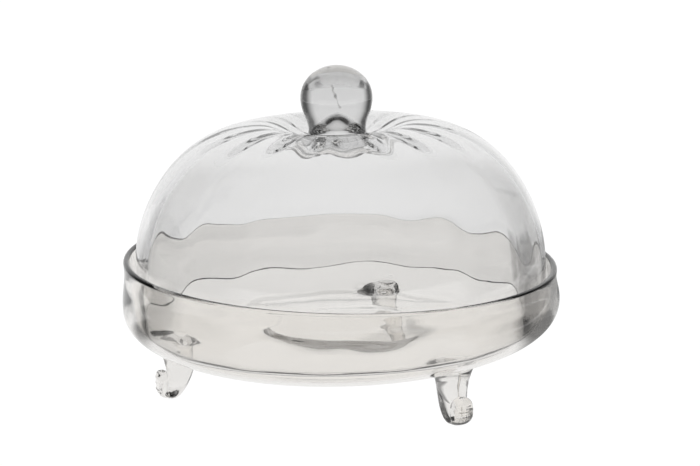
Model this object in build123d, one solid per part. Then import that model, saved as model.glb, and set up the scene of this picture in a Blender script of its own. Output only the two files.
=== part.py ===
from build123d import *
import math
import os

# Cake stand with dome: a blown glass dish on three folded feet, under a loose blown dome.
# Millimetres, +Z up, front towards -Y, origin on the table under the dish's axis.

# Dish
DISH_DIAMETER = 310.0     # outside, at the belly
RIM_SET_IN = 2.2          # rim's outside radius is this much less than the belly's
WAIST_DRAW = 1.6          # how far the wall is drawn in below the rim
WALL_SWELL = 0.45         # share of the wall's height over which it leaves the belly
WALL_WAIST = 0.6          # share of the wall's height from which it leans out to the rim
DISH_DEPTH = 58.0         # underside to the middle of the slanted rim
RIM_SLANT = 2.4           # degrees, the rim was sheared out of true and is high at -X
CORNER_WIDTH = 49.0       # the underside turns up over this radius...
CORNER_HEIGHT = 27.0      # ...and this height
WALL = 4.3                # glass at the rim
HEEL = 5.2                # glass at the belly
HEEL_LIFT = 1.2           # the inside is widest this much above the outside
RIM_ROUND = 1.9           # fire-polished edges of the rim
FLOOR = 3.5
SWELL_DIAMETER = 128.0    # the floor is swollen on top, over a level underside
SWELL_TOP = 92.0          # level top of the swelling
SWELL_HEIGHT = 3.2
SWELL_PLACE = (8.0, 7.0)  # the swelling stands off the dish's axis...
SWELL_DRIFT = (-12.0, -3.0)  # ...and its top off the swelling's own middle
SLUMP_TURN = -28.0        # degrees, the side on which the swelling has slumped
SLUMP_START = 0.5         # share of the swelling's radius where the slump begins

# Dome
DOME_GAP = 3.3            # between the dome and the dish's rim, all round
SEAT_GAP = 0.3            # under the dome's edge
EDGE_ROUND = 0.9          # outer corner of the edge, which is ground level
DOME_HEIGHT = 137.1       # edge to the ridge round the crown
SIDE_RADIUS = 111.5
SIDE_SWEEP = 38.6         # degrees of the side's arc, before the shoulder's arc takes over
SHOULDER_RADIUS = 83.3
PANEL_COUNT = 18          # optic panels, on the inside only
PANEL_WALL = 5.0          # glass at the middle of a panel, thinner at the ribs between panels
FIRST_RIB = 5.0           # degrees
CROWN_SINK = 9.4          # the crown sagged under the knob by this much
SAG_HIP = 0.45            # shares of the sagging stretch that run level at its ridge...
SAG_FOOT = 0.3            # ...and at the knob
NECK_WALL = 8.0           # glass of the crown where the knob stands

# Knob
KNOB_DIAMETER = 50.8
KNOB_CENTRE = 27.5        # height of the widest place over the crown
KNOB_TOP = 22.0           # widest place to top
NECK_DIAMETER = 40.0
NECK_HEIGHT = 6.5         # crown to where the ball starts
NECK_FLARE = 4.0
HOLLOW_DIAMETER = 18.0    # the blown hollow runs up into the neck
HOLLOW_RISE = 14.5        # top of the hollow over the crown
HOLLOW_SPREAD = 1.3       # share of its radius at which the hollow starts to spread
HOLLOW_MOUTH = 51.6       # where the hollow opens into the dome

# Feet
FOOT_HEIGHT = 34.0        # table to the dish's underside
FOOT_SET_IN = 37.0        # shank's axis inside the belly's radius
FOOT_ANGLES = {"rear_foot": 74.5, "left_foot": 194.0, "right_foot": 308.0}
FOOT_TWISTS = {"rear_foot": 0.0, "left_foot": 0.0, "right_foot": -14.0}  # degrees, each on its own axis
SHANK_WIDTH = 20.0        # across the foot
SHANK_DEPTH = 21.0        # along the dish's radius
KNEE_DEPTH = 20.0         # the same where the pad has run out...
ANKLE_DEPTH = 14.0        # ...and where the shank thins to its fold
ANKLE_RISE = 6.0          # the ankle is this high over the fold
PAD_DIAMETER = 30.0       # glass spread on the dish's underside
PAD_DEPTH = 12.0           # over which the pad runs into the shank
PAD_TUCK = 1.0            # the pad ends this far inside the shank
TOE_WIDTH = 16.8
TOE_THICK = 7.4           # also the thickness of the fold
FOLD_SET_OUT = 9.0        # the fold's axis is this far outside the shank's
FOLD_RADIUS = 0.9         # inside of the fold
TOE_REACH = 11.8          # the toe is round seen from the front, with this radius upwards
TOE_RISE = 8.0            # the fold's axis to the middle of the bead on the tip
TOE_BEAD = 1.08           # the bead is this much fuller than the toe
GROUND_FLAT = 0.5         # taken off under each sole so that it stands flat

ROUND = 0.5523            # handle length that makes a curve follow a quarter oval
QUARTER = 90.0            # degrees

# Derived places
dish_radius = DISH_DIAMETER / 2
rim_radius = dish_radius - RIM_SET_IN
base_radius = dish_radius - CORNER_WIDTH
underside_z = FOOT_HEIGHT
belly_z = underside_z + CORNER_HEIGHT
floor_z = underside_z + FLOOR
inner_belly_z = belly_z + HEEL_LIFT
swell_radius = SWELL_DIAMETER / 2
rim_z = underside_z + DISH_DEPTH
rim_rise = rim_radius * math.tan(math.radians(RIM_SLANT))
dome_radius = rim_radius - WALL - DOME_GAP
neck_radius = NECK_DIAMETER / 2
foot_circle = dish_radius - FOOT_SET_IN
fold_x = foot_circle + FOLD_SET_OUT
fold_z = FOLD_RADIUS + TOE_THICK - GROUND_FLAT


def lathe(lines):
    """Turn a closed outline, drawn as radius and height, about the vertical axis."""
    return revolve(Plane.XZ * make_face(lines), Axis.Z)


def wall_curve(heel, inset, low, high):
    """Dish wall from the belly up: drawn in to a waist and out again at the rim."""
    rise = high - low
    belly = (dish_radius - heel, low)
    swell = (dish_radius - heel, low + rise * WALL_SWELL)
    waist = (rim_radius - inset - WAIST_DRAW, low + rise * WALL_WAIST)
    return Bezier(belly, swell, waist, (rim_radius - inset, high))


def corner_curve(heel, level, belly):
    """Quarter ellipse between the level floor and the upright wall."""
    across = CORNER_WIDTH - heel
    return EllipticalCenterArc((base_radius, belly), across, belly - level, -QUARTER, arc_size=QUARTER)


def build_swelling():
    """Low mound on the floor, off the middle, that has slumped down to the floor on one side."""
    x, y = SWELL_PLACE
    slide_x, slide_y = SWELL_DRIFT
    top = floor_z + SWELL_HEIGHT
    sunk = Plane((x, y, floor_z - FLOOR / 2)) * Circle(swell_radius)
    foot = Plane((x, y, floor_z)) * Circle(swell_radius)
    brow = Plane((x + slide_x, y + slide_y, top)) * Circle(SWELL_TOP / 2)
    mound = loft([sunk, foot, brow], ruled=True)
    run = swell_radius * (1 - SLUMP_START)
    lean = math.degrees(math.atan2(SWELL_HEIGHT, run))
    brink = Location((swell_radius * SLUMP_START, 0, 0), (0, lean, 0))
    slump = Plane(Location((x, y, top), (0, 0, SLUMP_TURN)) * brink)
    return split(mound, bisect_by=slump, keep=Keep.BOTTOM)


def underside_height(radius):
    """Height of the dish's underside at a radius outside its level ring."""
    share = max(0.0, (radius - base_radius) / CORNER_WIDTH)
    return belly_z - CORNER_HEIGHT * math.sqrt(1 - share**2)


def dish_outline():
    """The dish's outside, filled to its axis, which the feet are fitted to."""
    top = rim_z + 2 * rim_rise
    return lathe(
        [
            Line((0, underside_z), (base_radius, underside_z)),
            corner_curve(0, underside_z, belly_z),
            wall_curve(0, 0, belly_z, top),
            Polyline((rim_radius, top), (0, top), (0, underside_z)),
        ]
    )


def build_dish():
    top = rim_z + 2 * rim_rise
    inside = lathe(
        [
            Line((0, floor_z), (base_radius, floor_z)),
            corner_curve(HEEL, floor_z, inner_belly_z),
            wall_curve(HEEL, WALL, inner_belly_z, top),
            Polyline((rim_radius - WALL, top), (0, top), (0, floor_z)),
        ]
    )
    blank = dish_outline() - inside + build_swelling()
    shear = Plane((0, 0, rim_z)).rotated((0, RIM_SLANT, 0))
    sheared = split(blank, bisect_by=shear, keep=Keep.BOTTOM)
    rim_face = sheared.faces().filter_by(lambda face: abs(face.normal_at().dot(shear.z_dir)) > 0.999)
    rim_face = rim_face.sort_by(Axis.Z)[-1]
    return fillet(rim_face.edges(), RIM_ROUND)


def seat_height():
    """Height of the dome's level edge where its rounded corner comes to rest in the dish's corner."""
    across = CORNER_WIDTH - HEEL
    down = inner_belly_z - floor_z
    reach = EDGE_ROUND + SEAT_GAP
    wanted = dome_radius - EDGE_ROUND - base_radius
    low, high = 0.0, math.pi / 2
    for _ in range(60):
        angle = (low + high) / 2
        slope = math.hypot(math.sin(angle) / across, math.cos(angle) / down)
        radius = across * math.sin(angle) - reach * math.sin(angle) / across / slope
        if radius < wanted:
            low = angle
        else:
            high = angle
    return inner_belly_z - down * math.cos(angle) + reach * math.cos(angle) / down / slope - EDGE_ROUND


edge_z = seat_height()
ridge_z = edge_z + DOME_HEIGHT
crown_z = ridge_z - CROWN_SINK
foot_of_neck = neck_radius + NECK_FLARE


def dome_arcs(inset):
    """Side arc and shoulder arc of the dome, up to the level ridge round its crown."""
    turn = math.radians(SIDE_SWEEP)
    side = SIDE_RADIUS - inset
    shoulder = SHOULDER_RADIUS - inset
    spring = ridge_z - SHOULDER_RADIUS - (SIDE_RADIUS - SHOULDER_RADIUS) * math.sin(turn)
    side_centre = (dome_radius - SIDE_RADIUS, spring)
    step = SIDE_RADIUS - SHOULDER_RADIUS
    ridge_radius = side_centre[0] + step * math.cos(turn)
    shoulder_centre = (ridge_radius, side_centre[1] + step * math.sin(turn))
    arcs = [
        CenterArc(side_centre, side, 0, SIDE_SWEEP),
        CenterArc(shoulder_centre, shoulder, SIDE_SWEEP, QUARTER - SIDE_SWEEP),
    ]
    return arcs, spring, ridge_radius


def sag_curve(ridge_radius, high, inner_radius, low):
    """Crown sagging from its ridge down to where the knob stands."""
    span = ridge_radius - inner_radius
    hip = (ridge_radius - span * SAG_HIP, high)
    foot = (inner_radius + span * SAG_FOOT, low)
    return Bezier((ridge_radius, high), hip, foot, (inner_radius, low))


def build_hollow():
    """Blown hollow that runs up from the crown into the neck of the knob."""
    low = crown_z - NECK_WALL
    top = crown_z + HOLLOW_RISE
    half = HOLLOW_DIAMETER / 2
    mouth = HOLLOW_MOUTH / 2
    return lathe(
        [
            Bezier((0, top), (half, top), (half * HOLLOW_SPREAD, low), (mouth, low)),
            Polyline((mouth, low), (mouth, low - NECK_WALL), (0, low - NECK_WALL), (0, top)),
        ]
    )


def build_vault():
    """Inside of the dome: one long panel each way, crossed at even turns."""
    arcs, spring, ridge_radius = dome_arcs(PANEL_WALL)
    inside = dome_radius - PANEL_WALL
    low = edge_z - EDGE_ROUND
    top = ridge_z - PANEL_WALL
    half = make_face(
        arcs
        + [
            Polyline((inside, spring), (inside, low), (0, low), (0, top), (ridge_radius, top)),
        ]
    )
    arch = Plane.XZ * (half + mirror(half, Plane.YZ))
    barrel = extrude(arch, 2 * dome_radius, both=True)
    first = FIRST_RIB + 2 * QUARTER / PANEL_COUNT
    vault = barrel.rotate(Axis.Z, first)
    for turn in range(1, PANEL_COUNT // 2):
        vault = vault & barrel.rotate(Axis.Z, first + turn * 4 * QUARTER / PANEL_COUNT)
    mouth = HOLLOW_MOUTH / 2
    low = crown_z - NECK_WALL
    sag = lathe(
        [
            sag_curve(ridge_radius, top, mouth, low),
            Polyline((mouth, low), (0, low), (0, ridge_z), (ridge_radius, ridge_z), (ridge_radius, top)),
        ]
    )
    return vault - sag


def build_dome():
    arcs, spring, ridge_radius = dome_arcs(0)
    corner = dome_radius - EDGE_ROUND
    outside = lathe(
        arcs
        + [
            sag_curve(ridge_radius, ridge_z, foot_of_neck, crown_z),
            Polyline((foot_of_neck, crown_z), (0, crown_z), (0, edge_z), (corner, edge_z)),
            CenterArc((corner, edge_z + EDGE_ROUND), EDGE_ROUND, -QUARTER, QUARTER),
            Line((dome_radius, edge_z + EDGE_ROUND), (dome_radius, spring)),
        ]
    )
    return outside - build_vault() - build_hollow()


def quarter_oval(centre, across, up):
    """Quarter of an oval, from its side to its top."""
    x, y = centre
    side = (x + across, y)
    top = (x, y + up)
    return Bezier(side, (x + across, y + up * ROUND), (x + across * ROUND, y + up), top)


def build_knob():
    """Ball drawn in to a neck, with a flare where it was pressed on the crown."""
    half = KNOB_DIAMETER / 2
    centre = crown_z + KNOB_CENTRE
    neck_top = crown_z + NECK_HEIGHT
    flare_top = crown_z + NECK_FLARE
    drawn = (centre - neck_top) / 2
    under = (half, centre - drawn)
    over = (neck_radius, neck_top + drawn / 2)
    ball = lathe(
        [
            quarter_oval((0, centre), half, KNOB_TOP),
            Bezier((half, centre), under, over, (neck_radius, neck_top)),
            Line((neck_radius, neck_top), (neck_radius, flare_top)),
            CenterArc((foot_of_neck, flare_top), NECK_FLARE, 2 * QUARTER, QUARTER),
            Polyline((foot_of_neck, crown_z), (0, crown_z), (0, centre + KNOB_TOP)),
        ]
    )
    return ball - build_hollow()


def oval(across, up):
    """Oval face about the origin, in four quarters, whichever way it is longer."""
    quarter = quarter_oval((0, 0), across, up)
    half = [quarter, mirror(quarter, Plane.YZ)]
    return make_face(half + [mirror(edge, Plane.XZ) for edge in half])


def build_pad():
    """Glass of the foot spread on the dish's underside, square to its slope."""
    seat = underside_height(foot_circle)
    inside, outside = foot_circle - PAD_TUCK, foot_circle + PAD_TUCK
    slope = math.atan2(underside_height(outside) - underside_height(inside), outside - inside)
    half = PAD_DIAMETER / 2
    core = SHANK_WIDTH / 2
    spread = lathe(
        [
            Bezier(
                (half, 0),
                (core + PAD_TUCK, -PAD_TUCK),
                (core, -PAD_DEPTH / 2),
                (core - PAD_TUCK, -PAD_DEPTH),
            ),
            Polyline(
                (core - PAD_TUCK, -PAD_DEPTH),
                (0, -PAD_DEPTH),
                (0, PAD_DEPTH),
                (half, PAD_DEPTH),
                (half, 0),
            ),
        ]
    )
    return Plane((foot_circle, 0, seat), z_dir=(-math.sin(slope), 0, math.cos(slope))) * spread


def toe_section(rise):
    """Cross-section of the upright toe, at a height over the fold's axis."""
    wide = TOE_WIDTH * math.sqrt(1 - (rise / TOE_REACH) ** 2)
    spot = (fold_x + FOLD_RADIUS + TOE_THICK / 2, 0, fold_z + rise)
    return Plane(spot, x_dir=(0, 1, 0)) * oval(wide / 2, TOE_THICK / 2)


def build_bead():
    """Rounded tip of the toe."""
    across = TOE_BEAD * TOE_WIDTH / 2 * math.sqrt(1 - (TOE_RISE / TOE_REACH) ** 2)
    rounded = quarter_oval((0, 0), across, TOE_BEAD * TOE_THICK / 2)
    half_oval = [rounded, mirror(rounded, Plane.YZ), Line((-across, 0), (across, 0))]
    spot = (fold_x + FOLD_RADIUS + TOE_THICK / 2, 0, fold_z + TOE_RISE)
    return Plane(spot, x_dir=(0, 1, 0)) * revolve(make_face(half_oval), Axis.X)


def shank_section(middle, height, wide, deep):
    """Cross-section of the shank, at a distance from the dish's axis and a height."""
    return Plane((middle, 0, height), x_dir=(0, 1, 0)) * oval(wide / 2, deep / 2)


def build_leg():
    """Shank that thins to an ankle and is folded up on its outside into a round toe."""
    knee_z = underside_height(foot_circle) - PAD_DEPTH
    face = fold_x - FOLD_RADIUS
    head = shank_section(foot_circle, belly_z, SHANK_WIDTH, SHANK_DEPTH)
    knee = shank_section(foot_circle, knee_z, SHANK_WIDTH, KNEE_DEPTH)
    ankle = shank_section(face - ANKLE_DEPTH / 2, fold_z + ANKLE_RISE, SHANK_WIDTH, ANKLE_DEPTH)
    crease = shank_section(face - TOE_THICK / 2, fold_z, TOE_WIDTH, TOE_THICK)
    shank = loft([head, knee, ankle, crease])
    fold = revolve(crease, Axis((fold_x, 0, fold_z), (0, -1, 0)), 2 * QUARTER)
    toe = loft([toe_section(rise) for rise in (0, TOE_RISE / 2, TOE_RISE)])
    return shank + fold + toe + build_bead()


def build_foot(outline, twist):
    """Foot on the +X axis, its leg turned on its seat as it was stuck on by hand."""
    leg = build_leg().rotate(Axis((foot_circle, 0, 0), (0, 0, 1)), twist)
    table = Pos(foot_circle, 0, -TOE_THICK) * Box(4 * PAD_DIAMETER, 4 * PAD_DIAMETER, 2 * TOE_THICK)
    return build_pad() + leg - outline - table


os.makedirs("parts", exist_ok=True)
outline = dish_outline()
nodes = {"dish": build_dish(), "dome": build_dome(), "knob": build_knob()}
for name, angle in FOOT_ANGLES.items():
    nodes[name] = build_foot(outline, FOOT_TWISTS[name]).rotate(Axis.Z, angle)
for name, solid in nodes.items():
    solid.label = name
    export_step(solid, f"parts/{name}.step")
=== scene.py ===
# Looks of the cake stand with dome: clear blown glass, in metres and in the part's own frame.
import bpy
import math
import random
from mathutils import Matrix, Vector


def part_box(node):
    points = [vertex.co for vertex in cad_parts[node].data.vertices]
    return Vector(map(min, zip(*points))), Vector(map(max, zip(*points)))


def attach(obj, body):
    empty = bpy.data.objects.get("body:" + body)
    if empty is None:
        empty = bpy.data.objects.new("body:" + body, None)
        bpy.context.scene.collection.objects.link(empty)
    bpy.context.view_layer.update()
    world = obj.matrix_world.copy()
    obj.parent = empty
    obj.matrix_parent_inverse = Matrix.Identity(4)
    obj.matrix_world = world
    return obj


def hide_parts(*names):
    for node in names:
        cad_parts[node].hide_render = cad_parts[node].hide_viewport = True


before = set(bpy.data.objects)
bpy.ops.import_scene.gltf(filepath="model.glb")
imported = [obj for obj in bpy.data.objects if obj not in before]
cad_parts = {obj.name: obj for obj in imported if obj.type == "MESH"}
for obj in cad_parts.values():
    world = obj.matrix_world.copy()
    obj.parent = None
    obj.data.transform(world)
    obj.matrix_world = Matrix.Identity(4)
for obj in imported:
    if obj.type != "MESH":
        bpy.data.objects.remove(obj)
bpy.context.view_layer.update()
random.seed(7)

MM = 0.001
TURNS = 72                # columns round a blown piece before it is smoothed
COVER_STEPS = 5           # stops along each stroke of the cover's outline
DISH_STEPS = 6            # and of the dish's
LEVELS = 2                # of smoothing by subdivision
CREASE_ANGLE = 40.0       # degrees; a sharper edge, as round the toe's print, stays an edge
ROUND = 0.5523            # handle length, as a share of the radius, that bends a curve into a quarter circle
EASE = 0.45               # handle length, as a share of the span, that lets a curve run out softly
FACING = 0.5              # least share of a normal that counts as facing a way
SLACK = 1.0               # millimetres to spare when vertices are picked by their place
WELD = 0.01               # millimetres between vertices that are one and the same

# Places read from the frame, in millimetres
dish_low, dish_high = (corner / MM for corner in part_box("dish"))
dome_low, dome_high = (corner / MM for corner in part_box("dome"))
knob_low, knob_high = (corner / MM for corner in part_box("knob"))

# Dome, in millimetres
DOME_RADIUS = dome_high.x
EDGE_GAP = 0.3            # the edge is drawn this much higher than in the part, to stay clear of the dish
EDGE_Z = dome_low.z + EDGE_GAP
EDGE_ROUND = 0.9          # the edge is ground level and lightly rounded
SIDE_WALL = 6.4
CROWN_WALL = 7.0
SIDE_RADIUS = 111.5
SIDE_SWEEP = 38.6         # degrees of the side's arc, before the shoulder's arc takes over
SHOULDER_RADIUS = 83.3
SHOULDER_STEP = SIDE_RADIUS - SHOULDER_RADIUS     # between the centres of the two arcs
RIDGE_Z = dome_high.z
SPRING_Z = RIDGE_Z - SHOULDER_RADIUS - SHOULDER_STEP * math.sin(math.radians(SIDE_SWEEP))
INNER_HANDLES = (25.0, 24.0)      # of the curve under the shoulder, at the side and at the ridge
SAG_HANDLE = 0.3          # at the low end of the sagged crown, as a share of its span
FIRST_RIB = 5             # degrees
PANEL_STEP = 20           # degrees
PANEL_SHARE = 0.45        # 1 would press the panels flat
CROWN_RIB = 0.7           # the ribs run on into the crown, this high
CROWN_RIB_END = 85.0      # as far out as this radius
CROWN_RIB_DEPTH = 23.0    # and no lower than this under the ridge

# Knob, in millimetres
CROWN_Z = knob_low.z
BALL_RADIUS = knob_high.x
BALL_TOP = knob_high.z
BALL_CAP = 22.0           # from the ball's widest place up to its top
BALL_Z = BALL_TOP - BALL_CAP
NECK_RADIUS = 20.0
NECK_FLARE = 4.0
NECK_HEIGHT = 6.5
NECK_TOP = CROWN_Z + NECK_HEIGHT
HOLLOW_RADIUS = 11.0      # the blown hollow runs up from the dome into the knob
HOLLOW_RISE = 20.0
HOLLOW_TOP = CROWN_Z + HOLLOW_RISE
HOLLOW_MOUTH = 25.8
HOLLOW_FLARE = 1.3        # handle at the mouth, as a share of the hollow's radius
MOUTH_WALL = 8.0          # glass between the crown and the mouth
MOUTH_Z = CROWN_Z - MOUTH_WALL
BUBBLES = 11              # a chain of small bubbles rises from the hollow
BUBBLE_ENDS = (2.0, 4.0)      # its foot lies this far over the hollow's top, its head over the ball's middle
BUBBLE_LEAN = (1.6, -2.2)     # from the knob's axis, at its foot and at its head
BUBBLE_STRAY = (0.35, 0.5)    # to either side, and to front or back
BUBBLE_RADII = (0.25, 0.7)

# Dish, in millimetres
BELLY_RADIUS = dish_high.x
UNDERSIDE_Z = dish_low.z
DISH_DEPTH = 58.0
CORNER_WIDTH = 49.0
CORNER_HEIGHT = 27.0
FLOOR_WALL = 3.5
BASE_RADIUS = BELLY_RADIUS - CORNER_WIDTH
BELLY_Z = UNDERSIDE_Z + CORNER_HEIGHT
FLOOR_Z = UNDERSIDE_Z + FLOOR_WALL
WALL = 4.3
WAIST_DRAW = 1.6          # the wall is drawn in this much
WAIST_SHARE = 0.6         # at this share of its height
HEEL_WALL = 5.2           # glass at the belly
HEEL_RISE = 1.2           # the inner belly lies this much over the outer
INNER_BELLY_Z = BELLY_Z + HEEL_RISE
RIM_INSET = 2.2
RIM_RADIUS = BELLY_RADIUS - RIM_INSET
RIM_Z = UNDERSIDE_Z + DISH_DEPTH
RIM_RISE = 6.4            # the sheared rim is this much higher at -X and lower at +X
SWELL_RADIUS = 64.0       # the floor is swollen on top, over a level underside
SWELL_TOP = 46.0
SWELL_HEIGHT = 3.4
SWELL_PLACE = (8.0, 7.0)  # the swelling is off the middle
SWELL_DRIFT = (-9.0, -10.0)   # and its top is off the swelling's own middle
SLUMP_TURN = -28.0        # degrees, the side on which the swelling has slumped
SLUMP_START = 0.4         # share of the swelling's radius where the slump begins
SEAT_RADIUS = 13.0        # the floor was pushed up level where each foot was stuck on
SEAT_BLEND = 5.0
SEAT_LIFT = 2.0

# Feet, in millimetres
FOOT_CIRCLE = 118.0
FOOT_ANGLES = {"rear_foot": 74.5, "left_foot": 194.0, "right_foot": 308.0}   # degrees
FOOT_TWISTS = {"rear_foot": 0.0, "left_foot": 0.0, "right_foot": -14.0}      # degrees, about the foot itself
FOOT_SIDES = 24
FOOT_RINGS = (            # height, radius from the axis, width and depth, from the pad down
    (39.6, 118.0, 29.0, 29.0),
    (37.4, 118.0, 28.6, 28.6),
    (34.4, 118.0, 26.2, 26.2),
    (30.6, 118.0, 23.6, 23.8),
    (26.0, 117.6, 21.6, 21.8),
    (19.6, 117.6, 20.2, 19.6),
    (11.0, 118.9, 19.5, 14.5),
    (5.8, 120.6, 17.5, 11.0))
BEND_RADIUS = 0.3         # the toe is folded up tight against the foot
BEND_STEP = 30.0          # degrees
BEND_RINGS = (            # width and depth round the fold
    (16.0, 8.5), (14.4, 6.8), (13.4, 5.2), (13.6, 5.8), (14.6, 7.0), (15.8, 8.2))
TOE_RINGS = (             # rise, width and depth up the toe, which is lightly crimped
    (1.7, 16.8, 9.4),
    (2.0, 16.8, 8.2),
    (2.1, 17.4, 9.6),
    (2.0, 16.4, 8.2),
    (2.1, 16.0, 9.6),
    (1.9, 13.6, 7.8),
    (1.8, 10.0, 7.4),
    (1.0, 5.0, 4.4))
WAFFLE_Z = 7.9            # the tool that folded the toe left a print of small squares, at this height
WAFFLE_REACH = 5.6
WAFFLE_MARGIN = 0.4
WAFFLE_DEPTH = 0.55

# Waves, the soft unevenness of hand-blown walls, in millimetres
WAVE_SIZE = 55.0
WAVE_HEIGHT = 0.6
WAVE_MELT = 12            # passes that melt the waves into the even glass beside them
EDGE_EVEN = 12.0          # the dome is even this far up from its edge
CROWN_EVEN = 8.0          # and this far out from the hollow's mouth
WALL_EVEN = 8.0           # the dish's wall is even this far from its belly and from its rim

# Cords, the faint streaks of blown glass, in millimetres
CORD_LENGTH = 60.0
CORD_WIDTH = 14.0
CORD_HEIGHT = 0.05
CORD_DETAIL = 2.0         # finer streaks within the streaks

# Glass
GLASS_IOR = 1.5
GLASS_DENSITY = 6.3       # light soaked up per metre, so that only thick glass turns grey
GLASS_BOUNCES = 48        # light passes many walls of glass before it is spent
SHINE_BOUNCES = 16

# The room that the glass sees, in metres: lit behind the stand and in front of it, dark at both sides; the
# table's darkness is painted shade on a hidden sheet
LIT_MIDDLE = (-0.05, 1, 0)        # the way the lit sweep behind the stand lies
LIT_ANGLES = (26.0, 50.0)         # degrees from there to where its light begins to fade and has gone
FRONT_ANGLES = (105.0, 130.0)     # and to where the light in front begins and is full
LIT_NEAR = (0.55, 0.70)           # the table's sides are lit to the first distance and dark from the second
UNLIT = 0.84                      # darkness at the sides
LIT = 0.10                        # and painted shade in the lit part, which is not quite white
SHADES = (                        # soft patches of painted shade on the table, seen only in the glass: middle, reach and darkness
    ((-0.45, 0.03), (0.34, 0.11), 0.95),      # beside the dome, on its left
    ((0.24, 0.03), (0.14, 0.12), 0.80),       # and on its right
    ((0.35, 0.25), (0.22, 0.45), 0.68),       # behind the right end of the dish
    ((-0.40, 0.53), (0.95, 0.13), 0.15))      # a faint strip behind the stand
SHADE_CORE = 0.5                  # share of its reach over which a patch is full
SKY = (0.08, 0.93)                # brightness of the sky in front and straight behind
TABLE_SIZE = 40.0
SHEET_SIZE = 30.0
SHEET_Z = 0.001

# Camera, fitted to the photograph
LENS = 81.68                      # millimetres
SENSOR = 36.0                     # millimetres
TILT = 12.759                     # degrees, looking down
ROLL = -1.308                     # degrees
AIM = (0.00728, 0, 0.1088)        # metres
DISTANCE = 1.1235                 # metres


# Working the pieces

def pick(piece):
    """Leaves one piece selected and active."""
    bpy.ops.object.select_all(action="DESELECT")
    piece.select_set(True)
    bpy.context.view_layer.objects.active = piece


def open_mesh(piece):
    """Opens a piece for editing with all its vertices selected."""
    pick(piece)
    bpy.ops.object.mode_set(mode="EDIT")
    bpy.ops.mesh.select_mode(type="VERT")
    bpy.ops.mesh.select_all(action="SELECT")


def close_mesh():
    bpy.ops.object.mode_set(mode="OBJECT")


def mark(piece, wanted):
    """Opens a piece for editing with only the wanted vertices selected."""
    open_mesh(piece)
    bpy.ops.mesh.select_all(action="DESELECT")
    close_mesh()
    for vertex in piece.data.vertices:
        vertex.select = wanted(vertex)
    bpy.ops.object.mode_set(mode="EDIT")


def apply(piece, kind, **settings):
    """Adds a modifier, sets it and applies it."""
    pick(piece)
    bpy.ops.object.modifier_add(type=kind)
    change = piece.modifiers[-1]
    for name, value in settings.items():
        setattr(change, name, value)
    bpy.ops.object.modifier_apply(modifier=change.name)


# Drawing an outline, as radius and height in millimetres

def stroke(start, lead, arrive, end):
    """Curve from start to end with a handle at each."""
    return [Vector(spot) for spot in (start, lead, arrive, end)]


def line(start, end):
    start, end = Vector(start), Vector(end)
    return [start, start.lerp(end, 1 / 3), start.lerp(end, 2 / 3), end]


def arc(centre, radius, first, last):
    """Stroke along an arc of up to a quarter turn, between two angles in degrees."""
    first, last = math.radians(first), math.radians(last)
    reach = 4 / 3 * math.tan((last - first) / 4) * radius
    start = Vector(centre) + radius * Vector((math.cos(first), math.sin(first)))
    end = Vector(centre) + radius * Vector((math.cos(last), math.sin(last)))
    lead = start + reach * Vector((-math.sin(first), math.cos(first)))
    arrive = end - reach * Vector((-math.sin(last), math.cos(last)))
    return [start, lead, arrive, end]


def draw_outline(name, strokes, steps):
    """Draws the strokes as one curve over the X axis and turns it into a line of vertices."""
    bpy.ops.object.select_all(action="DESELECT")
    bpy.ops.curve.primitive_bezier_curve_add(location=(0, 0, 0))
    outline = bpy.context.object
    outline.name = name
    outline.data.dimensions = "3D"
    spline = outline.data.splines[0]
    spline.bezier_points.add(len(strokes) - 1)
    spline.resolution_u = steps
    spots = [part[0] for part in strokes] + [strokes[-1][3]]
    leads = [part[1] for part in strokes] + [strokes[-1][3]]
    arrivals = [strokes[0][0]] + [part[2] for part in strokes]
    for point, spot, lead, arrival in zip(spline.bezier_points, spots, leads, arrivals):
        point.handle_left_type = point.handle_right_type = "FREE"
        point.co = (spot.x * MM, 0, spot.y * MM)
        point.handle_left = (arrival.x * MM, 0, arrival.y * MM)
        point.handle_right = (lead.x * MM, 0, lead.y * MM)
    bpy.ops.object.convert(target="MESH")
    return bpy.context.object


def blow(name, strokes, steps):
    """Turns an outline about the upright axis into a closed piece."""
    piece = draw_outline(name, strokes, steps)
    open_mesh(piece)
    bpy.ops.mesh.spin(steps=TURNS, angle=math.tau, center=(0, 0, 0), axis=(0, 0, 1))
    bpy.ops.mesh.select_all(action="SELECT")
    bpy.ops.mesh.remove_doubles(threshold=WELD * MM)
    bpy.ops.mesh.normals_make_consistent(inside=False)
    close_mesh()
    return piece


def ripple(piece, wanted):
    """Gives the wanted stretch of a wall the soft unevenness of hand-blown glass."""
    texture = bpy.data.textures.new(piece.name + "_waves", "CLOUDS")
    texture.noise_scale = WAVE_SIZE * MM
    texture.noise_depth = 1
    group = piece.vertex_groups.new(name="waves")
    group.add([vertex.index for vertex in piece.data.vertices if wanted(vertex.co / MM)], 1, "REPLACE")
    pick(piece)
    bpy.ops.object.mode_set(mode="WEIGHT_PAINT")
    bpy.ops.object.vertex_group_smooth(group_select_mode="ACTIVE", factor=0.5, repeat=WAVE_MELT)
    bpy.ops.object.mode_set(mode="OBJECT")
    apply(piece, "DISPLACE", texture=texture, texture_coords="LOCAL", strength=WAVE_HEIGHT * MM,
          mid_level=0.5, vertex_group="waves")
    piece.vertex_groups.clear()


# Cover: dome and knob, fused into one piece of glass

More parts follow.
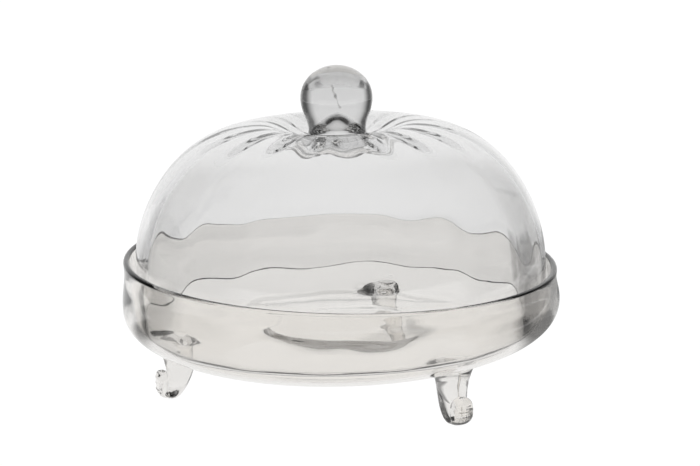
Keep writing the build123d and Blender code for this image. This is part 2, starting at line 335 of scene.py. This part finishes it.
def cover_outline():
    """From the ball's top down the outside to the edge, and up the inside to the top of the hollow."""
    turn = math.radians(SIDE_SWEEP)
    side = (DOME_RADIUS - SIDE_RADIUS, SPRING_Z)
    shoulder = (side[0] + SHOULDER_STEP * math.cos(turn), side[1] + SHOULDER_STEP * math.sin(turn))
    ridge = shoulder[0]
    flare = NECK_RADIUS + NECK_FLARE
    span = ridge - flare
    drawn = (BALL_Z - NECK_TOP) / 2
    inner = DOME_RADIUS - SIDE_WALL
    under_ridge = RIDGE_Z - CROWN_WALL
    inner_side = SIDE_RADIUS - SIDE_WALL
    rise = Vector((-math.sin(turn), math.cos(turn)))
    leave = Vector(side) + inner_side * Vector((math.cos(turn), math.sin(turn)))
    inner_span = ridge - HOLLOW_MOUTH
    return [
        stroke((0, BALL_TOP), (BALL_RADIUS * ROUND, BALL_TOP),
               (BALL_RADIUS, BALL_Z + (BALL_TOP - BALL_Z) * ROUND), (BALL_RADIUS, BALL_Z)),
        stroke((BALL_RADIUS, BALL_Z), (BALL_RADIUS, BALL_Z - drawn),
               (NECK_RADIUS, NECK_TOP + drawn / 2), (NECK_RADIUS, NECK_TOP)),
        line((NECK_RADIUS, NECK_TOP), (NECK_RADIUS, CROWN_Z + NECK_FLARE)),
        arc((flare, CROWN_Z + NECK_FLARE), NECK_FLARE, 180, 270),
        stroke((flare, CROWN_Z), (flare + span * SAG_HANDLE, CROWN_Z),
               (ridge - span * EASE, RIDGE_Z), (ridge, RIDGE_Z)),
        arc(shoulder, SHOULDER_RADIUS, 90, SIDE_SWEEP),
        arc(side, SIDE_RADIUS, SIDE_SWEEP, 0),
        line((DOME_RADIUS, SPRING_Z), (DOME_RADIUS, EDGE_Z + EDGE_ROUND)),
        arc((DOME_RADIUS - EDGE_ROUND, EDGE_Z + EDGE_ROUND), EDGE_ROUND, 0, -90),
        line((DOME_RADIUS - EDGE_ROUND, EDGE_Z), (inner + EDGE_ROUND, EDGE_Z)),
        arc((inner + EDGE_ROUND, EDGE_Z + EDGE_ROUND), EDGE_ROUND, -90, -180),
        line((inner, EDGE_Z + EDGE_ROUND), (inner, SPRING_Z)),
        arc(side, inner_side, 0, SIDE_SWEEP),
        stroke(leave, leave + rise * INNER_HANDLES[0], (ridge + INNER_HANDLES[1], under_ridge),
               (ridge, under_ridge)),
        stroke((ridge, under_ridge), (ridge - inner_span * EASE, under_ridge),
               (HOLLOW_MOUTH + inner_span * SAG_HANDLE, MOUTH_Z), (HOLLOW_MOUTH, MOUTH_Z)),
        stroke((HOLLOW_MOUTH, MOUTH_Z), (HOLLOW_RADIUS * HOLLOW_FLARE, MOUTH_Z),
               (HOLLOW_RADIUS, HOLLOW_TOP), (0, HOLLOW_TOP)),
    ]


def press_panels(cover):
    """Pushes the ribs between the optic panels out into the wall, on the inside only."""
    centre = Vector((0, 0, SPRING_Z * MM))
    crown_low = (RIDGE_Z - CROWN_RIB_DEPTH) * MM

    def inside(vertex):
        return vertex.normal.dot(vertex.co - centre) < 0 and vertex.co.xy.length > HOLLOW_MOUTH * MM

    def crown(vertex):
        return inside(vertex) and vertex.co.xy.length < CROWN_RIB_END * MM and vertex.co.z > crown_low

    def column(vertex):
        return round(math.degrees(math.atan2(vertex.co.y, vertex.co.x)) - FIRST_RIB) % PANEL_STEP

    full = 1 / math.cos(math.radians(PANEL_STEP / 2)) - 1
    part = 1 / math.cos(math.radians(PANEL_STEP / 4)) - 1
    quarters = (PANEL_STEP // 4, PANEL_STEP * 3 // 4)
    for places, spread in (((0,), full), (quarters, part)):
        mark(cover, lambda vertex: inside(vertex) and column(vertex) in places)
        scale = 1 + spread * PANEL_SHARE
        bpy.ops.transform.resize(value=(scale, scale, 1), center_override=(0, 0, 0))
        close_mesh()
    for place, rise in ((0, CROWN_RIB), (PANEL_STEP // 2, -CROWN_RIB)):
        mark(cover, lambda vertex: crown(vertex) and column(vertex) == place)
        bpy.ops.transform.translate(value=(0, 0, rise * MM))
        close_mesh()


def trap_bubbles(cover):
    """Leaves a leaning chain of bubbles in the solid ball: small closed hollows that face inwards."""
    low, high = HOLLOW_TOP + BUBBLE_ENDS[0], BALL_Z + BUBBLE_ENDS[1]
    aside, deep = BUBBLE_STRAY
    bubbles = []
    for count in range(BUBBLES):
        share = count / (BUBBLES - 1)
        lean = BUBBLE_LEAN[0] + (BUBBLE_LEAN[1] - BUBBLE_LEAN[0]) * share + random.uniform(-aside, aside)
        spot = Vector((lean, random.uniform(-deep, deep), low + (high - low) * share)) * MM
        bpy.ops.object.select_all(action="DESELECT")
        bpy.ops.mesh.primitive_ico_sphere_add(
            subdivisions=2, radius=random.uniform(*BUBBLE_RADII) * MM, location=spot)
        bubble = bpy.context.object
        open_mesh(bubble)
        bpy.ops.mesh.flip_normals()
        close_mesh()
        bubbles.append(bubble)
    pick(cover)
    for bubble in bubbles:
        bubble.select_set(True)
    bpy.ops.object.join()


def make_cover():
    """Blows the dome and its knob."""
    cover = blow("cover", cover_outline(), COVER_STEPS)
    press_panels(cover)
    apply(cover, "SUBSURF", levels=LEVELS, render_levels=LEVELS)
    ripple(cover, lambda spot: spot.z > EDGE_Z + EDGE_EVEN and spot.xy.length > HOLLOW_MOUTH + CROWN_EVEN)
    trap_bubbles(cover)
    pick(cover)
    bpy.ops.object.shade_smooth()
    return cover


# Stand: dish and feet, fused into one piece of glass

def dish_outline():
    """From the middle of the underside out and up the wall, over the rim and back along the floor."""
    across, down = BELLY_RADIUS - BASE_RADIUS, BELLY_Z - UNDERSIDE_Z
    inner_across, inner_down = across - HEEL_WALL, INNER_BELLY_Z - FLOOR_Z
    inner_belly = BELLY_RADIUS - HEEL_WALL
    lip = WALL / 2
    top = RIM_Z - lip
    slope = SWELL_RADIUS - SWELL_TOP
    swollen = FLOOR_Z + SWELL_HEIGHT

    def wall(inset, heel, belly):
        start, end = BELLY_RADIUS - heel, RIM_RADIUS - inset
        rise = RIM_Z - belly
        return stroke((start, belly), (start, belly + rise * EASE),
                      (end - WAIST_DRAW, belly + rise * WAIST_SHARE), (end, top))

    return [
        line((0, UNDERSIDE_Z), (BASE_RADIUS, UNDERSIDE_Z)),
        stroke((BASE_RADIUS, UNDERSIDE_Z), (BASE_RADIUS + across * ROUND, UNDERSIDE_Z),
               (BELLY_RADIUS, BELLY_Z - down * ROUND), (BELLY_RADIUS, BELLY_Z)),
        wall(0, 0, BELLY_Z),
        arc((RIM_RADIUS - lip, top), lip, 0, 90),
        arc((RIM_RADIUS - lip, top), lip, 90, 180),
        wall(WALL, HEEL_WALL, INNER_BELLY_Z)[::-1],
        stroke((inner_belly, INNER_BELLY_Z), (inner_belly, INNER_BELLY_Z - inner_down * ROUND),
               (BASE_RADIUS + inner_across * ROUND, FLOOR_Z), (BASE_RADIUS, FLOOR_Z)),
        line((BASE_RADIUS, FLOOR_Z), (SWELL_RADIUS, FLOOR_Z)),
        stroke((SWELL_RADIUS, FLOOR_Z), (SWELL_RADIUS - slope * EASE, FLOOR_Z),
               (SWELL_TOP + slope * EASE, swollen), (SWELL_TOP, swollen)),
        line((SWELL_TOP, swollen), (0, swollen)),
    ]


def push_swelling(dish):
    """Moves the swelling of the floor off the middle, and its top further than its foot."""
    def on_floor(vertex, reach):
        return vertex.normal.z > FACING and vertex.co.xy.length < reach * MM and vertex.co.z < BELLY_Z * MM

    mark(dish, lambda vertex: on_floor(vertex, SWELL_TOP + SLACK))
    bpy.ops.transform.translate(
        value=(SWELL_DRIFT[0] * MM, SWELL_DRIFT[1] * MM, 0), use_proportional_edit=True,
        proportional_edit_falloff="LINEAR", proportional_size=(SWELL_RADIUS - SWELL_TOP) * MM)
    close_mesh()
    mark(dish, lambda vertex: on_floor(vertex, SWELL_RADIUS + SLACK))
    bpy.ops.transform.translate(value=(SWELL_PLACE[0] * MM, SWELL_PLACE[1] * MM, 0))
    close_mesh()


def slump_swelling(dish):
    """Lets the swelling slump to the floor on one side."""
    turn = math.radians(SLUMP_TURN)
    down = Vector((math.cos(turn), math.sin(turn)))
    brink = SWELL_RADIUS * SLUMP_START
    floor = [vertex for vertex in dish.data.vertices
             if vertex.normal.z > FACING and vertex.co.xy.length < BASE_RADIUS * MM]
    for vertex in floor:
        past = down.dot(vertex.co.xy / MM - Vector(SWELL_PLACE)) - brink
        top = FLOOR_Z + SWELL_HEIGHT * max(0, 1 - past / (SWELL_RADIUS - brink))
        vertex.co.z = min(vertex.co.z, top * MM)


def corner_height(radius, across, low, high):
    """Height of the dish's rounded corner at a radius."""
    return high - (high - low) * math.sqrt(1 - ((radius - BASE_RADIUS) / across) ** 2)


def level_seats(dish):
    """Pushes the floor up level over each foot."""
    across = BELLY_RADIUS - BASE_RADIUS - HEEL_WALL
    level = (corner_height(FOOT_CIRCLE, across, FLOOR_Z, INNER_BELLY_Z) + SEAT_LIFT) * MM
    seats = [FOOT_CIRCLE * Vector((math.cos(math.radians(angle)), math.sin(math.radians(angle))))
             for angle in FOOT_ANGLES.values()]
    corner = [vertex for vertex in dish.data.vertices if vertex.normal.z > 0 and vertex.co.z < BELLY_Z * MM]
    for vertex in corner:
        away = min((vertex.co.xy / MM - seat).length for seat in seats) - SEAT_RADIUS
        share = min(1, max(0, 1 - away / SEAT_BLEND))
        vertex.co.z += share * share * (3 - 2 * share) * (level - vertex.co.z)


def slant_rim(dish):
    """Leans the wall over its belly, so that the rim is high on one side."""
    bpy.ops.object.select_all(action="DESELECT")
    bpy.ops.object.add(type="LATTICE", location=(0, 0, (BELLY_Z + RIM_Z) / 2 * MM))
    cage = bpy.context.object
    cage.scale = (2 * RIM_RADIUS * MM, 2 * RIM_RADIUS * MM, (RIM_Z - BELLY_Z) * MM)
    cage.data.points_u = cage.data.points_v = cage.data.points_w = 2
    cage.data.interpolation_type_u = cage.data.interpolation_type_v = "KEY_LINEAR"
    cage.data.interpolation_type_w = "KEY_LINEAR"
    for point in cage.data.points:
        if point.co.z > 0:
            point.co_deform.z -= math.copysign(RIM_RISE / (RIM_Z - BELLY_Z), point.co.x)
    apply(dish, "LATTICE", object=cage)
    pick(cage)
    bpy.ops.object.delete()


def fit_end(size, new_size, centre):
    """Brings the foot's open end from one width and depth to another, about a centre."""
    wide, deep = (new / old for new, old in zip(new_size, size))
    bpy.ops.transform.resize(value=(deep, wide, deep), center_override=centre)


def pull_end(spot, step, size, new_size):
    """Pulls the foot's open end on by a step to a new width and depth, and gives its new place."""
    bpy.ops.mesh.extrude_region_move(TRANSFORM_OT_translate={"value": step})
    fit_end(size, new_size, spot + step)
    return spot + step


def pull_shank(spot, size):
    """Pulls the foot down from its pad ring by ring, and gives the place and size of its end."""
    for height, middle, *new_size in FOOT_RINGS[1:]:
        step = Vector((middle, 0, height)) * MM - spot
        spot = pull_end(spot, step, size, new_size)
        size = new_size
    return spot, size


def fold_toe(spot, size):
    """Folds the foot's end half a turn outwards, and gives the place and size of its end."""
    centre = spot + Vector((size[1] / 2 + BEND_RADIUS, 0, 0)) * MM
    turned = 0
    for new_size in BEND_RINGS:
        turned += math.radians(BEND_STEP)
        bpy.ops.mesh.extrude_region_move(TRANSFORM_OT_translate={"value": (0, 0, 0)})
        bpy.ops.transform.rotate(value=math.radians(BEND_STEP), orient_axis="Y", center_override=centre)
        inner = centre + BEND_RADIUS * MM * Vector((-math.cos(turned), 0, -math.sin(turned)))
        fit_end(size, new_size, inner)
        size = new_size
    return centre + Vector((BEND_RADIUS + size[1] / 2, 0, 0)) * MM, size


def raise_toe(spot, size):
    """Draws the folded end up into the toe."""
    for rise, *new_size in TOE_RINGS:
        spot = pull_end(spot, Vector((0, 0, rise * MM)), size, new_size)
        size = new_size


def print_waffle(foot):
    """Presses the tool's print of small squares into the outside of the toe."""
    _, middle, _, deep = FOOT_RINGS[-1]
    outside = (middle + deep / 2 + BEND_RADIUS) * MM
    open_mesh(foot)
    bpy.ops.mesh.select_mode(type="FACE")
    bpy.ops.mesh.select_all(action="DESELECT")
    close_mesh()
    for face in foot.data.polygons:
        spread = math.hypot(face.center.y, face.center.z - WAFFLE_Z * MM)
        face.select = face.center.x > outside and face.normal.x > FACING and spread < WAFFLE_REACH * MM
    bpy.ops.object.mode_set(mode="EDIT")
    bpy.ops.mesh.inset(use_individual=True, thickness=WAFFLE_MARGIN * MM, depth=-WAFFLE_DEPTH * MM)
    close_mesh()


def make_foot(name, angle, twist):
    """Pulls a foot down from its pad, folds its toe up against the outside and turns it to its place."""
    height, middle, *size = FOOT_RINGS[0]
    spot = Vector((middle, 0, height)) * MM
    bpy.ops.object.select_all(action="DESELECT")
    bpy.ops.mesh.primitive_circle_add(
        vertices=FOOT_SIDES, radius=size[0] / 2 * MM, fill_type="NGON", location=spot)
    foot = bpy.context.object
    foot.name = name
    bpy.ops.object.transform_apply(location=True, rotation=True, scale=True)
    open_mesh(foot)
    ankle, ankle_size = pull_shank(spot, size)
    fold, fold_size = fold_toe(ankle, ankle_size)
    raise_toe(fold, fold_size)
    bpy.ops.mesh.select_all(action="SELECT")
    bpy.ops.mesh.normals_make_consistent(inside=False)
    close_mesh()
    print_waffle(foot)
    open_mesh(foot)
    bpy.ops.transform.rotate(
        value=-math.radians(twist), orient_axis="Z", center_override=(FOOT_CIRCLE * MM, 0, 0))
    bpy.ops.transform.rotate(value=-math.radians(angle), orient_axis="Z", center_override=(0, 0, 0))
    close_mesh()
    apply(foot, "SUBSURF", levels=LEVELS, render_levels=LEVELS)
    return foot


def make_stand():
    """Blows the dish and sticks the feet to it."""
    dish = blow("stand", dish_outline(), DISH_STEPS)
    push_swelling(dish)
    slump_swelling(dish)
    slant_rim(dish)
    apply(dish, "SUBSURF", levels=LEVELS, render_levels=LEVELS)
    level_seats(dish)
    ripple(dish, lambda spot: BELLY_Z + WALL_EVEN < spot.z < RIM_Z - WALL_EVEN)
    for name, angle in FOOT_ANGLES.items():
        foot = make_foot(name + "_blank", angle, FOOT_TWISTS[name])
        apply(dish, "BOOLEAN", operation="UNION", solver="EXACT", object=foot)
        pick(foot)
        bpy.ops.object.delete()
    pick(dish)
    bpy.ops.object.shade_smooth_by_angle(angle=math.radians(CREASE_ANGLE))
    return dish


# Materials

def paint(code):
    """Linear colour from an sRGB hex code."""
    shares = [int(code[place:place + 2], 16) / 255 for place in (1, 3, 5)]
    linear = [share / 12.92 if share <= 0.04045 else ((share + 0.055) / 1.055) ** 2.4 for share in shares]
    return (*linear, 1)


def add(tree, kind, inputs=None, **settings):
    """Adds a node with its settings; an input is set to its value, or linked where that is an output."""
    node = tree.nodes.new(kind)
    for name, value in settings.items():
        setattr(node, name, value)
    for place, value in (inputs or {}).items():
        if isinstance(value, bpy.types.NodeSocket):
            tree.links.new(value, node.inputs[place])
        else:
            node.inputs[place].default_value = value
    return node


def clear_glass(name, tint, deep):
    """Colourless blown glass: a clean hard shine, faint cords round the piece, grey where it is thick."""
    material = bpy.data.materials.new(name)
    material.use_nodes = True
    tree = material.node_tree
    where = add(tree, "ShaderNodeTexCoord")
    lie = add(tree, "ShaderNodeMapping",
              {"Vector": where.outputs["Object"], "Scale": (1, 1, CORD_LENGTH / CORD_WIDTH)})
    cords = add(tree, "ShaderNodeTexNoise",
                {"Vector": lie.outputs["Vector"], "Scale": 1 / (CORD_LENGTH * MM), "Detail": CORD_DETAIL})
    shades = add(tree, "ShaderNodeMix",
                 {"Factor": cords.outputs["Fac"], "A": paint(tint), "B": paint(deep)}, data_type="RGBA")
    dents = add(tree, "ShaderNodeBump", {"Height": cords.outputs["Fac"], "Distance": CORD_HEIGHT * MM})
    soak = add(tree, "ShaderNodeVolumeAbsorption", {"Color": paint("#000000"), "Density": GLASS_DENSITY})
    shader = tree.nodes["Principled BSDF"]
    shader.inputs["Roughness"].default_value = 0.0
    shader.inputs["IOR"].default_value = GLASS_IOR
    shader.inputs["Transmission Weight"].default_value = 1.0
    tree.links.new(shades.outputs["Result"], shader.inputs["Base Color"])
    tree.links.new(dents.outputs["Normal"], shader.inputs["Normal"])
    tree.links.new(soak.outputs["Volume"], tree.nodes["Material Output"].inputs["Volume"])
    return material


def white_table():
    """Backlit white acrylic: even and without shadows."""
    material = bpy.data.materials.new("white_acrylic")
    material.use_nodes = True
    shader = material.node_tree.nodes["Principled BSDF"]
    shader.inputs["Base Color"].default_value = paint("#101010")
    shader.inputs["Roughness"].default_value = 0.7
    shader.inputs["Emission Color"].default_value = paint("#ffffff")
    shader.inputs["Emission Strength"].default_value = 1.0
    return material


# Studio

def unlit_sides(tree, spot):
    """Darkness of the room between the lit sweep and the light in front, by a place or a direction."""
    level = add(tree, "ShaderNodeVectorMath", {0: spot, 1: (1, 1, 0)}, operation="MULTIPLY")
    aim = add(tree, "ShaderNodeVectorMath", {0: level.outputs["Vector"]}, operation="NORMALIZE")
    towards = add(tree, "ShaderNodeVectorMath",
                  {0: aim.outputs["Vector"], 1: Vector(LIT_MIDDLE).normalized()}, operation="DOT_PRODUCT")
    full, gone = (math.cos(math.radians(angle)) for angle in LIT_ANGLES)
    begins, whole = (math.cos(math.radians(angle)) for angle in FRONT_ANGLES)
    past_sweep = add(
        tree, "ShaderNodeMapRange",
        {"Value": towards.outputs["Value"], "From Min": full, "From Max": gone, "To Max": UNLIT},
        interpolation_type="SMOOTHSTEP")
    before_front = add(
        tree, "ShaderNodeMapRange",
        {"Value": towards.outputs["Value"], "From Min": whole, "From Max": begins},
        interpolation_type="SMOOTHSTEP")
    sides = add(tree, "ShaderNodeMath", {0: past_sweep.outputs["Result"], 1: before_front.outputs["Result"]},
                operation="MULTIPLY")
    return sides.outputs["Value"]


def shade():
    """Painted shade: an unseen sheet over the table, clear where the room is lit and black where it is dark.
    """
    material = bpy.data.materials.new("shade")
    material.use_nodes = True
    tree = material.node_tree
    spot = add(tree, "ShaderNodeTexCoord").outputs["Object"]
    distance = add(tree, "ShaderNodeVectorMath", {0: spot}, operation="LENGTH")
    beyond = add(
        tree, "ShaderNodeMapRange",
        {"Value": distance.outputs["Value"], "From Min": LIT_NEAR[0], "From Max": LIT_NEAR[1]},
        interpolation_type="SMOOTHSTEP")
    sides = add(tree, "ShaderNodeMath", {0: unlit_sides(tree, spot), 1: beyond.outputs["Result"]},
                operation="MULTIPLY")
    darkness = add(tree, "ShaderNodeMath", {0: sides.outputs["Value"], 1: LIT}, operation="MAXIMUM")
    for middle, reach, most in SHADES:
        away = add(tree, "ShaderNodeVectorMath", {0: spot, 1: (*middle, 0)}, operation="SUBTRACT")
        share = add(tree, "ShaderNodeVectorMath", {0: away.outputs["Vector"], 1: (*reach, 1)},
                    operation="DIVIDE")
        length = add(tree, "ShaderNodeVectorMath", {0: share.outputs["Vector"]}, operation="LENGTH")
        patch = add(
            tree, "ShaderNodeMapRange",
            {"Value": length.outputs["Value"], "From Min": 1.0, "From Max": SHADE_CORE, "To Max": most},
            interpolation_type="SMOOTHSTEP")
        darkness = add(tree, "ShaderNodeMath", {0: darkness.outputs["Value"], 1: patch.outputs["Result"]},
                       operation="MAXIMUM")
    clear = add(tree, "ShaderNodeBsdfTransparent")
    black = add(tree, "ShaderNodeEmission", {"Strength": 0.0})
    # painted shade: black where the darkness is full, clear elsewhere
    painted_shade = add(tree, "ShaderNodeMixShader",
               {"Fac": darkness.outputs["Value"], 1: clear.outputs["BSDF"], 2: black.outputs["Emission"]})
    tree.links.new(painted_shade.outputs["Shader"], tree.nodes["Material Output"].inputs["Surface"])
    return material


def shade_sheet():
    """Lays the painted shade over the table, where the glass shows it and the camera does not see it."""
    bpy.ops.mesh.primitive_plane_add(size=SHEET_SIZE, location=(0, 0, SHEET_Z))
    sheet = bpy.context.object
    sheet.name = "shade"
    sheet.visible_camera = sheet.visible_shadow = sheet.visible_diffuse = False
    sheet.data.materials.append(shade())


def set_studio():
    """White table, the painted shade over it, and a sky that is bright behind the stand."""
    bpy.ops.mesh.primitive_plane_add(size=TABLE_SIZE, location=(0, 0, 0))
    table = bpy.context.object
    table.name = "table"
    table.data.materials.append(white_table())
    shade_sheet()
    world = bpy.data.worlds.new("studio")
    world.use_nodes = True
    tree = world.node_tree
    way = add(tree, "ShaderNodeTexCoord").outputs["Generated"]
    towards = add(tree, "ShaderNodeVectorMath", {0: way, 1: (0, 1, 0)}, operation="DOT_PRODUCT")
    sky = add(
        tree, "ShaderNodeMapRange",
        {"Value": towards.outputs["Value"], "To Min": SKY[0], "To Max": SKY[1]},
        interpolation_type="SMOOTHSTEP")
    lit_share = add(tree, "ShaderNodeMath", {0: 1, 1: unlit_sides(tree, way)}, operation="SUBTRACT")
    glow = add(tree, "ShaderNodeMath", {0: sky.outputs["Result"], 1: lit_share.outputs["Value"]},
               operation="MULTIPLY")
    background = tree.nodes["Background"]
    background.inputs["Color"].default_value = paint("#ffffff")
    tree.links.new(glow.outputs["Value"], background.inputs["Strength"])
    bpy.context.scene.world = world


def set_camera():
    """Stands the camera where the photograph was taken from."""
    bpy.ops.object.camera_add()
    camera = bpy.context.object
    camera.data.lens = LENS
    camera.data.sensor_width = SENSOR
    tilt, roll = math.radians(TILT), math.radians(ROLL)
    back = Vector((0, -math.cos(tilt), math.sin(tilt)))
    place = Vector(AIM) + back * DISTANCE
    upright = Matrix.Rotation(math.pi / 2 - tilt, 4, "X")
    camera.matrix_world = Matrix.Translation(place) @ upright @ Matrix.Rotation(roll, 4, "Z")
    bpy.context.scene.camera = camera


def set_light_paths():
    """Lets light through all the walls of glass, and shows its colours plainly."""
    scene = bpy.context.scene
    scene.view_settings.view_transform = "Standard"
    scene.cycles.max_bounces = GLASS_BOUNCES
    scene.cycles.transmission_bounces = GLASS_BOUNCES
    scene.cycles.glossy_bounces = SHINE_BOUNCES


# The stand with its dome, in its studio

cover = make_cover()
stand = make_stand()
dome_glass = clear_glass("clear_blown_glass", "#ffffff", "#fafafa")
dish_glass = clear_glass("warm_blown_glass", "#fffdfa", "#faf8f5")
for piece, body, glass, nodes in (
        (cover, "cover", dome_glass, ("dome", "knob")), (stand, "stand", dish_glass, ("dish", *FOOT_ANGLES))):
    piece.data.materials.clear()
    piece.data.materials.append(glass)
    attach(piece, body)
    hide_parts(*nodes)
set_studio()
set_camera()
set_light_paths()
